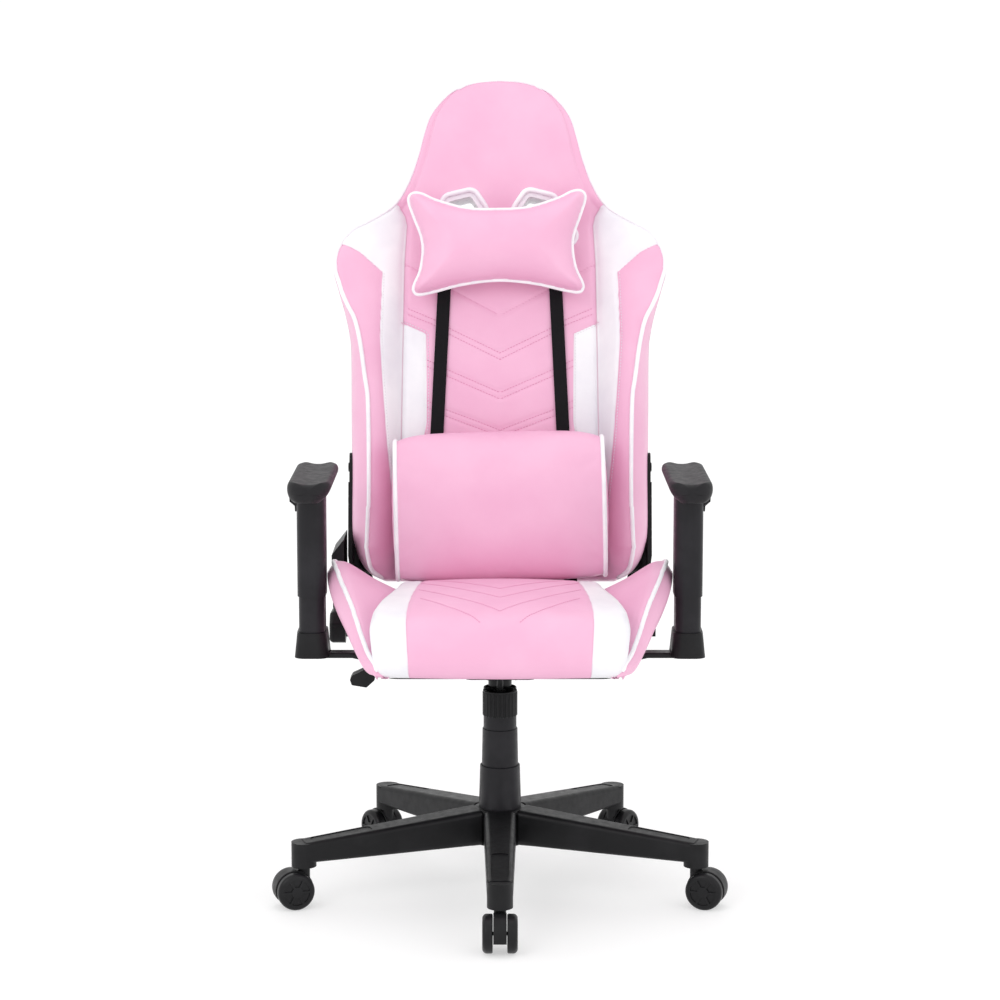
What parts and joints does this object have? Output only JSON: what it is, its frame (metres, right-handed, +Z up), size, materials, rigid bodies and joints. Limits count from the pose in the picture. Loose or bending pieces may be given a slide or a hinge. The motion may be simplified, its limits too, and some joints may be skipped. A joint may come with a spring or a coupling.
{
  "type": "gaming chair",
  "caption": "Racing-style gaming chair: padded bucket seat and high back with belt openings, two pillows, height-adjustable armrests, gas lift and a caster base.",
  "frame": {"origin": "on the floor under the gas lift's axis, at the middle of the five-leg base", "axes": "+Z up, +X towards the sitter's left, -Y towards the front, where the sitter's knees are"},
  "size_m": [0.732, 0.7883, 1.3142],
  "materials": {
    "nylon_black": "satin",
    "caster_nylon": "satin",
    "steel_black": "satin",
    "steel_bright": "satin",
    "armrest_pu": "matte",
    "pu_leather_pink": "satin",
    "pu_leather_white": "satin",
    "trim_white": "gloss",
    "webbing_black": "matte",
    "plywood": "matte"
  },
  "bodies": {
    "base": {"star_base": "nylon_black", "caster_stems": "steel_bright", "lift_outer_tube": "steel_black", "lift_guide_bush": "nylon_black", "thrust_bearing": "steel_bright", "cover_lower": "nylon_black"},
    "lift_rod": {"piston_rod": "steel_bright"},
    "column": {"lift_cylinder": "steel_bright", "cover_upper": "nylon_black", "mech_pan": "steel_black", "tilt_axle": "steel_bright", "tension_spring": "steel_black"},
    "cover_slider": {"cover_middle": "nylon_black"},
    "valve": {"valve_pin": "steel_bright"},
    "tilt_lock": {"tilt_lock_bracket": "steel_black"},
    "lever": {"lever_rod": "steel_black", "lever_paddle": "nylon_black"},
    "tension_screw": {"tension_bolt": "steel_bright"},
    "tension_knob": {"tension_knob": "nylon_black"},
    "seat": {"mech_top_plate": "steel_black", "mech_bolts": "steel_bright", "seat_board": "plywood", "seat_cushion": "pu_leather_pink", "seat_bolster_left": "pu_leather_pink", "seat_bolster_right": "pu_leather_pink", "armrest_brackets": "steel_black", "armrest_bolts": "steel_bright", "armrest_tubes": "nylon_black", "armrest_collars": "nylon_black", "seat_hinge_plates": "steel_black", "hinge_pins": "steel_bright", "hinge_cap_left": "nylon_black", "hinge_cover_right": "nylon_black"},
    "arm_left": {"armrest_sleeve_left": "nylon_black", "armrest_pad_left": "armrest_pu"},
    "arm_right": {"armrest_sleeve_right": "nylon_black", "armrest_pad_right": "armrest_pu"},
    "trigger_left": {"armrest_trigger_left": "nylon_black"},
    "trigger_right": {"armrest_trigger_right": "nylon_black"},
    "back": {"back_arms": "steel_black", "back_bolts": "steel_bright", "back_frame": "steel_black", "back_cushion": "pu_leather_pink", "belt_hole_trims": "trim_white", "head_pillow": "pu_leather_pink", "head_pillow_band": "webbing_black", "lumbar_pillow": "pu_leather_pink", "lumbar_straps": "webbing_black"},
    "recline_lever": {"recline_lever": "nylon_black"},
    "caster_1": {"caster_1_fork": "nylon_black"},
    "wheels_1": {"caster_1_wheels": "caster_nylon"},
    "caster_2": {"caster_2_fork": "nylon_black"},
    "wheels_2": {"caster_2_wheels": "caster_nylon"},
    "caster_3": {"caster_3_fork": "nylon_black"},
    "wheels_3": {"caster_3_wheels": "caster_nylon"},
    "caster_4": {"caster_4_fork": "nylon_black"},
    "wheels_4": {"caster_4_wheels": "caster_nylon"},
    "caster_5": {"caster_5_fork": "nylon_black"},
    "wheels_5": {"caster_5_wheels": "caster_nylon"}
  },
  "joints": [
    {"name": "caster_1_swivel", "type": "hinge", "parent": "base", "child": "caster_1", "pos_m": [0, -0.33, 0.065], "axis": [0, 0, 1], "continuous": true},
    {"name": "caster_1_roll", "type": "hinge", "parent": "caster_1", "child": "wheels_1", "pos_m": [0, -0.348, 0.03], "axis": [1, 0, 0], "continuous": true},
    {"name": "caster_2_swivel", "type": "hinge", "parent": "base", "child": "caster_2", "pos_m": [0.31385, -0.10198, 0.065], "axis": [0, 0, 1], "continuous": true},
    {"name": "caster_2_roll", "type": "hinge", "parent": "caster_2", "child": "wheels_2", "pos_m": [0.33097, -0.10754, 0.03], "axis": [0.309, 0.9511, 0], "continuous": true},
    {"name": "caster_3_swivel", "type": "hinge", "parent": "base", "child": "caster_3", "pos_m": [0.19397, 0.26698, 0.065], "axis": [0, 0, 1], "continuous": true},
    {"name": "caster_3_roll", "type": "hinge", "parent": "caster_3", "child": "wheels_3", "pos_m": [0.20455, 0.28154, 0.03], "axis": [-0.809, 0.5878, 0], "continuous": true},
    {"name": "caster_4_swivel", "type": "hinge", "parent": "base", "child": "caster_4", "pos_m": [-0.19397, 0.26698, 0.065], "axis": [0, 0, 1], "continuous": true},
    {"name": "caster_4_roll", "type": "hinge", "parent": "caster_4", "child": "wheels_4", "pos_m": [-0.20455, 0.28154, 0.03], "axis": [-0.809, -0.5878, 0], "continuous": true},
    {"name": "caster_5_swivel", "type": "hinge", "parent": "base", "child": "caster_5", "pos_m": [-0.31385, -0.10198, 0.065], "axis": [0, 0, 1], "continuous": true},
    {"name": "caster_5_roll", "type": "hinge", "parent": "caster_5", "child": "wheels_5", "pos_m": [-0.33097, -0.10754, 0.03], "axis": [0.309, -0.9511, 0], "continuous": true},
    {"name": "seat_swivel", "type": "hinge", "parent": "base", "child": "lift_rod", "pos_m": [0, 0, 0.08], "axis": [0, 0, 1], "continuous": true},
    {"name": "seat_height", "type": "slide", "parent": "lift_rod", "child": "column", "axis": [0, 0, 1], "range_m": [-0.06, 0.04]},
    {"name": "cover_follow", "type": "slide", "parent": "lift_rod", "child": "cover_slider", "axis": [0, 0, 1], "range_m": [-0.031, 0.021]},
    {"name": "lever_push", "type": "slide", "parent": "column", "child": "tilt_lock", "axis": [1, 0, 0], "range_m": [0, 0.008]},
    {"name": "lever_lift", "type": "hinge", "parent": "tilt_lock", "child": "lever", "pos_m": [-0.036, 0, 0.378], "axis": [0, 1, 0], "range_deg": [0, 5], "stiffness_Nm_per_rad": 6, "springref_deg": -11.46},
    {"name": "valve_press", "type": "slide", "parent": "column", "child": "valve", "axis": [0, 0, 1], "range_m": [-0.0035, 0.0001]},
    {"name": "seat_tilt", "type": "hinge", "parent": "column", "child": "seat", "pos_m": [0, -0.045, 0.38], "axis": [-1, 0, 0], "range_deg": [0, 10], "stiffness_Nm_per_rad": 120, "springref_deg": -22.92},
    {"name": "tension_rise", "type": "slide", "parent": "column", "child": "tension_screw", "axis": [0, 0, 1], "range_m": [-0.0001, 0.0046], "deforming": ["tension_spring"]},
    {"name": "knob_turn", "type": "hinge", "parent": "tension_screw", "child": "tension_knob", "pos_m": [0, -0.07, 0.32], "axis": [0, 0, 1], "range_deg": [-360, 360]},
    {"name": "arm_left_height", "type": "slide", "parent": "seat", "child": "arm_left", "axis": [0, 0, 1], "range_m": [-0.05, 0.02]},
    {"name": "arm_right_height", "type": "slide", "parent": "seat", "child": "arm_right", "axis": [0, 0, 1], "range_m": [-0.05, 0.02]},
    {"name": "trigger_left_pull", "type": "hinge", "parent": "arm_left", "child": "trigger_left", "pos_m": [0.328, -0.045, 0.652], "axis": [0, -1, 0], "range_deg": [0, 12], "stiffness_Nm_per_rad": 0.4, "springref_deg": -17.19},
    {"name": "trigger_right_pull", "type": "hinge", "parent": "arm_right", "child": "trigger_right", "pos_m": [-0.328, -0.045, 0.652], "axis": [0, 1, 0], "range_deg": [0, 12], "stiffness_Nm_per_rad": 0.4, "springref_deg": -17.19},
    {"name": "recline", "type": "hinge", "parent": "seat", "child": "back", "pos_m": [0, 0.195, 0.46], "axis": [-1, 0, 0], "range_deg": [0, 45]},
    {"name": "recline_lever_pull", "type": "hinge", "parent": "seat", "child": "recline_lever", "pos_m": [-0.262, 0.152, 0.43], "axis": [-1, 0, 0], "range_deg": [0, 12], "stiffness_Nm_per_rad": 3, "springref_deg": -17.19}
  ],
  "couplings": [
    {"joint": "cover_follow", "follows": "seat_height", "ratio": 0.5},
    {"joint": "valve_press", "follows": "lever_lift", "m_per_rad": -0.036},
    {"joint": "tension_rise", "follows": "seat_tilt", "m_per_rad": 0.025}
  ]
}
